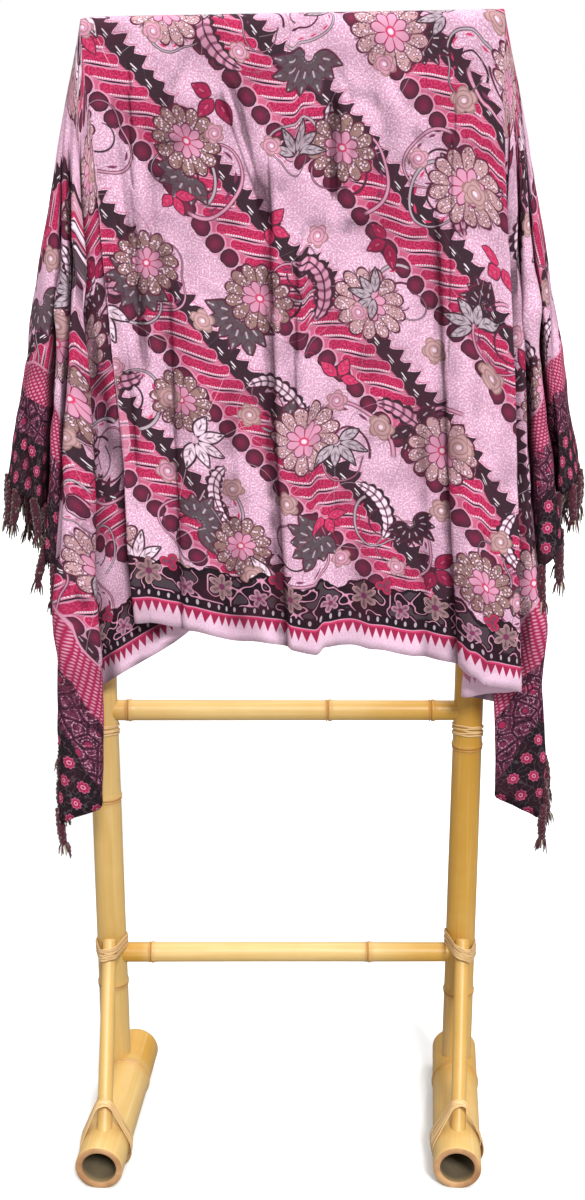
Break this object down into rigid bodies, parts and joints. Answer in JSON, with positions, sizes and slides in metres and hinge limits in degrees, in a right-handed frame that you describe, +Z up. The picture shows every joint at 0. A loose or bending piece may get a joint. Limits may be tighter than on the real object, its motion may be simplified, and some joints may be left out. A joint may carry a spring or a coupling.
{
  "type": "batik sarong on bamboo stand",
  "caption": "Fringed batik sarong hung over the top bar of a bamboo stand, flat in front and falling in folds past both ends.",
  "frame": {"origin": "middle of the footprint on the floor", "axes": "+Z up, X along the top bar, -Y towards the front of the cloth"},
  "size_m": [0.7754, 0.3788, 1.513],
  "materials": {
    "batik_cloth": "plain woven cotton with a wax-resist print in pink, crimson and charcoal",
    "fringe": "twisted cotton threads in dark maroon",
    "bamboo": "peeled golden bamboo, satin",
    "lashing": "split cane, matte"
  },
  "bodies": {
    "root": {"front_panel": "batik_cloth", "back_panel": "batik_cloth", "inner_pleats_left": "batik_cloth", "inner_pleats_right": "batik_cloth", "front_fall_left": "batik_cloth", "front_fall_right": "batik_cloth", "outer_fall_left": "batik_cloth", "outer_fall_right": "batik_cloth", "back_fall_left": "batik_cloth", "back_fall_right": "batik_cloth", "edge_fringe_left": "fringe", "edge_fringe_right": "fringe", "corner_fringe_left": "fringe", "corner_fringe_right": "fringe", "top_bar": "bamboo", "post_left": "bamboo", "post_right": "bamboo", "upper_rail": "bamboo", "lower_rail": "bamboo", "foot_left": "bamboo", "foot_right": "bamboo", "brace_left": "bamboo", "brace_right": "bamboo", "brace_lashing_left": "lashing", "brace_lashing_right": "lashing", "rail_lashing_left": "lashing", "rail_lashing_right": "lashing", "foot_lashing_left": "lashing", "foot_lashing_right": "lashing"}
  },
  "joints": []
}
